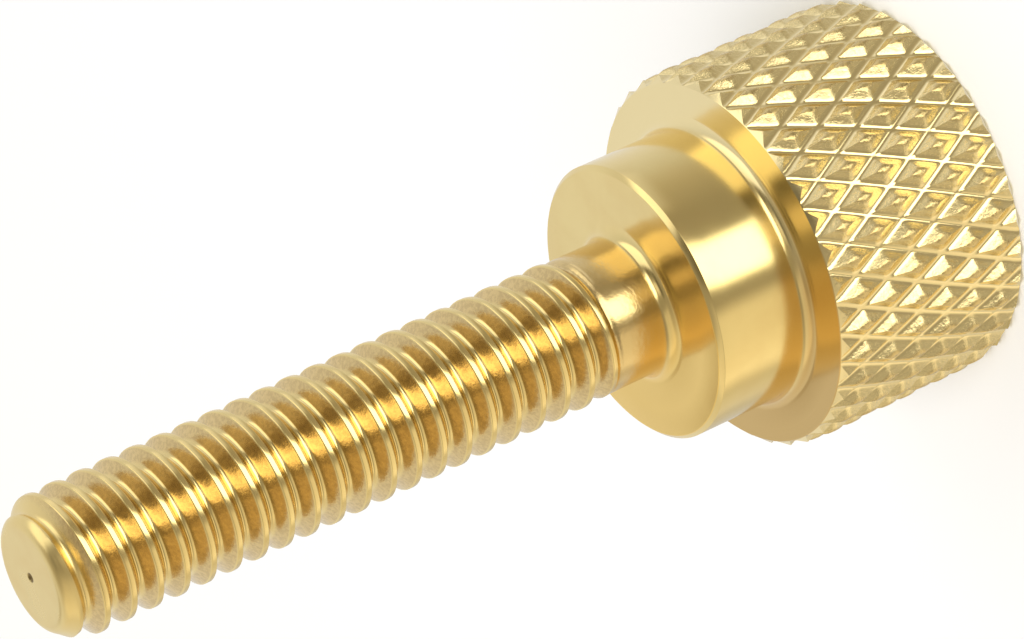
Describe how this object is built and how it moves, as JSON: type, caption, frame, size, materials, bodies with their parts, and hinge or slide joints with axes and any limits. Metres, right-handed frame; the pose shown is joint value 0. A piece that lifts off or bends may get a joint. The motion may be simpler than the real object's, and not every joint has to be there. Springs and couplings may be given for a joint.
{
  "type": "thumb screw",
  "caption": "Brass thumb screw to tighten by hand: round diamond-knurled head, smooth collar below it, and a long threaded shank with a tapered tip.",
  "frame": {"origin": "centre of the flat end of the head, on which the screw stands", "axes": "+Z along the screw's axis, from the head to the tip; X and Y are across it, and -Y is the side that the picture shows"},
  "size_m": [0.0174, 0.0174, 0.045],
  "materials": {
    "brass": "bright turned faces and thread, with duller tops on the knurl"
  },
  "bodies": {
    "root": {"thumb_screw": "brass"}
  },
  "joints": []
}
